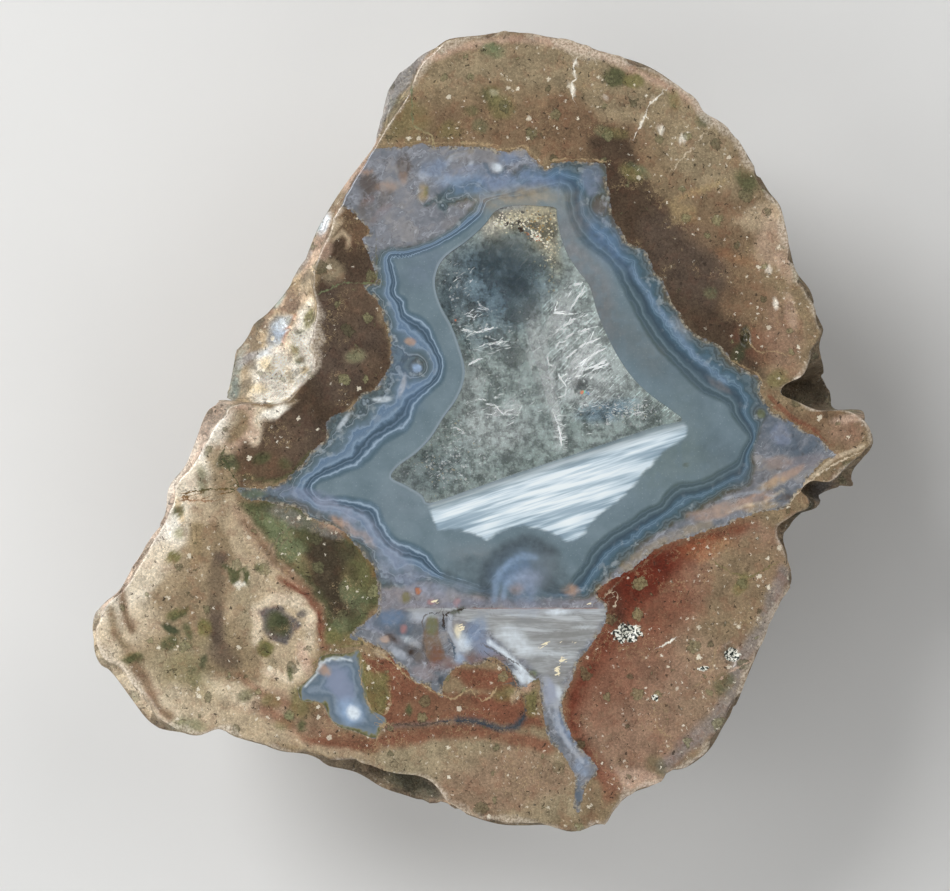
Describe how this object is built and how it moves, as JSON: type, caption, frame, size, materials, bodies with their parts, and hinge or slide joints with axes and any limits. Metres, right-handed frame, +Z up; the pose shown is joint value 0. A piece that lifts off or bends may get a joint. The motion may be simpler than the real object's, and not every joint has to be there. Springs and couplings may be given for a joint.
{
  "type": "thunderegg half",
  "caption": "Half of a rhyolite nodule, cut and polished, with a star of banded agate around clear quartz, lying on its knobbly rounded back.",
  "frame": {"origin": "under the middle of the outline, on the level surface that the rounded back rests on", "axes": "+Z up, square to the cut face; +Y towards the rounded end of the nodule, the top of the picture; +X towards the picture's right"},
  "size_m": [0.0984, 0.1007, 0.044],
  "materials": {
    "rhyolite_and_agate": "polished on the cut face, rough on the back",
    "clear_quartz": "polished"
  },
  "bodies": {
    "root": {"thunderegg_half": "rhyolite_and_agate", "quartz_centre": "clear_quartz"}
  },
  "joints": []
}
